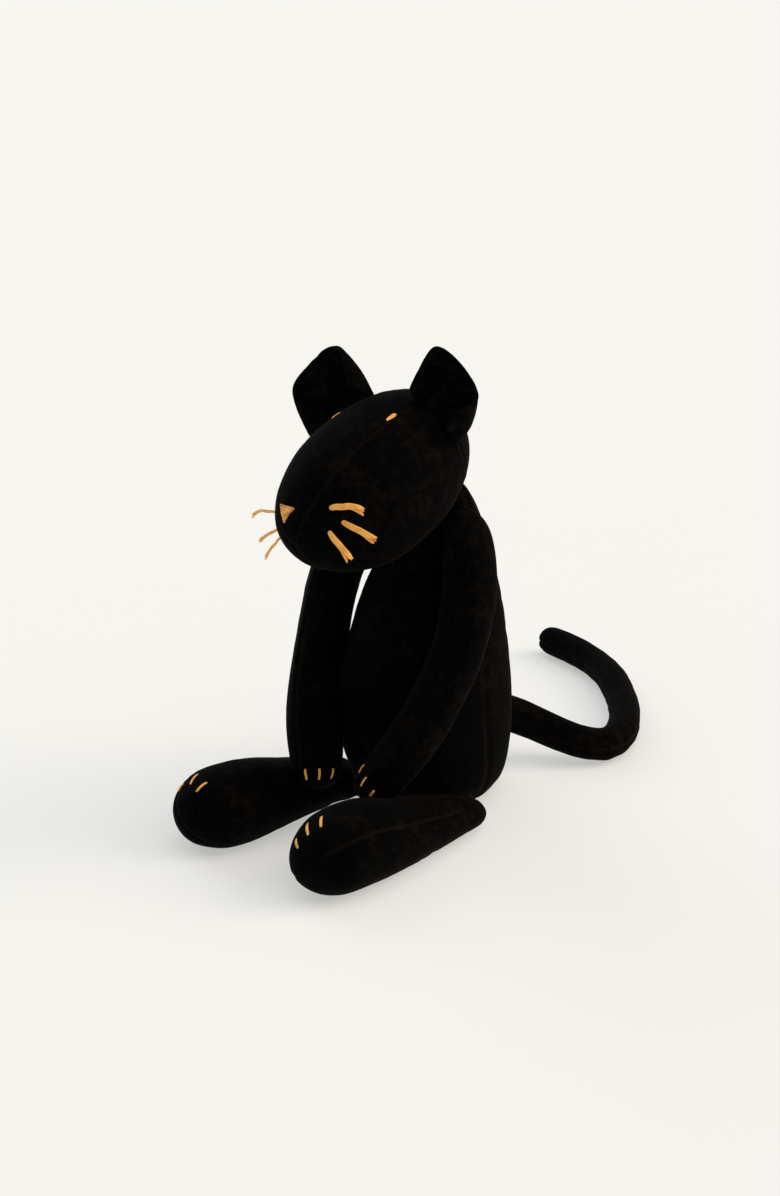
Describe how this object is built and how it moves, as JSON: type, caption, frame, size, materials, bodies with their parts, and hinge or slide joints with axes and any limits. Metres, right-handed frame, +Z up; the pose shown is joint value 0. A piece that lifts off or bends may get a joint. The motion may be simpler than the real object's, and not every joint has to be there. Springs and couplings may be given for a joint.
{
  "type": "plush cat",
  "caption": "Sitting stuffed cat with long hugging arms, splayed legs, cupped ears, a curled tail and embroidered face and claws.",
  "frame": {"origin": "centre of the seat, on the surface the cat sits on", "axes": "+Z up; the cat faces -Y; its own left side is +X"},
  "size_m": [0.1796, 0.4474, 0.3123],
  "materials": {
    "black_velvet": "short-pile black velvet",
    "ear_lining": "short-pile black velvet",
    "gold_floss": "stranded gold embroidery floss",
    "black_thread": "black sewing thread",
    "stuffing": "polyester fibre",
    "pellet_bag": "woven cotton"
  },
  "bodies": {
    "torso": {"torso_front_panel": "black_velvet", "torso_back_panel": "black_velvet", "seat_panel": "black_velvet", "torso_stuffing": "stuffing", "pellet_bag": "pellet_bag", "neck_thread": "black_thread"},
    "head": {"head_top_gusset": "black_velvet", "head_left_panel": "black_velvet", "head_right_panel": "black_velvet", "back_head_left_panel": "black_velvet", "back_head_right_panel": "black_velvet", "head_stuffing": "stuffing", "nose_embroidery": "gold_floss", "left_eye_stitch": "gold_floss", "right_eye_stitch": "gold_floss", "left_whisker_upper": "gold_floss", "left_whisker_middle": "gold_floss", "left_whisker_lower": "gold_floss", "right_whisker_upper": "gold_floss", "right_whisker_middle": "gold_floss", "right_whisker_lower": "gold_floss"},
    "left_ear": {"left_ear_back": "black_velvet", "left_ear_lining": "ear_lining"},
    "right_ear": {"right_ear_back": "black_velvet", "right_ear_lining": "ear_lining"},
    "left_arm": {"left_arm_outer_panel": "black_velvet", "left_arm_inner_panel": "black_velvet", "left_arm_stuffing": "stuffing", "left_paw_claws": "gold_floss"},
    "right_arm": {"right_arm_outer_panel": "black_velvet", "right_arm_inner_panel": "black_velvet", "right_arm_stuffing": "stuffing", "right_paw_claws": "gold_floss"},
    "left_leg": {"left_leg_upper_panel": "black_velvet", "left_leg_lower_panel": "black_velvet", "left_leg_stuffing": "stuffing", "left_foot_claws": "gold_floss"},
    "right_leg": {"right_leg_upper_panel": "black_velvet", "right_leg_lower_panel": "black_velvet", "right_leg_stuffing": "stuffing", "right_foot_claws": "gold_floss"},
    "tail": {"tail_upper_panel": "black_velvet", "tail_lower_panel": "black_velvet", "tail_stuffing": "stuffing"}
  },
  "joints": [
    {"name": "neck_twist", "type": "hinge", "parent": "torso", "child": "head", "pos_m": [-0.001, -0.01, 0.2085], "axis": [0, -0.6451, 0.7641], "range_deg": [-12, 12], "stiffness_Nm_per_rad": 0.6},
    {"name": "left_ear_flex", "type": "hinge", "parent": "head", "child": "left_ear", "pos_m": [0.0242, -0.0236, 0.2756], "axis": [0.7323, 0.3117, -0.6054], "range_deg": [-10, 10], "stiffness_Nm_per_rad": 0.05},
    {"name": "right_ear_flex", "type": "hinge", "parent": "head", "child": "right_ear", "pos_m": [-0.039, -0.04, 0.2666], "axis": [0.5944, 0.1548, 0.7892], "range_deg": [-10, 8], "stiffness_Nm_per_rad": 0.05},
    {"name": "left_shoulder_swing", "type": "hinge", "parent": "torso", "child": "left_arm", "pos_m": [0.04, -0.01, 0.199], "axis": [-0.9439, 0, 0.3304], "range_deg": [0, 30]},
    {"name": "right_shoulder_swing", "type": "hinge", "parent": "torso", "child": "right_arm", "pos_m": [-0.04, -0.013, 0.199], "axis": [-0.9439, 0, -0.3304], "range_deg": [0, 20]},
    {"name": "left_hip_swing", "type": "hinge", "parent": "torso", "child": "left_leg", "pos_m": [0.0365, -0.0285, 0.006], "axis": [-0.76, -0.65, 0], "range_deg": [-35, 0]},
    {"name": "right_hip_swing", "type": "hinge", "parent": "torso", "child": "right_leg", "pos_m": [-0.0355, -0.0325, 0.006], "axis": [-0.76, 0.65, 0], "range_deg": [-35, 0]},
    {"name": "tail_swing", "type": "hinge", "parent": "torso", "child": "tail", "pos_m": [0.0055, 0.077, 0.037], "axis": [0, 0, 1], "range_deg": [-12, 25]}
  ]
}
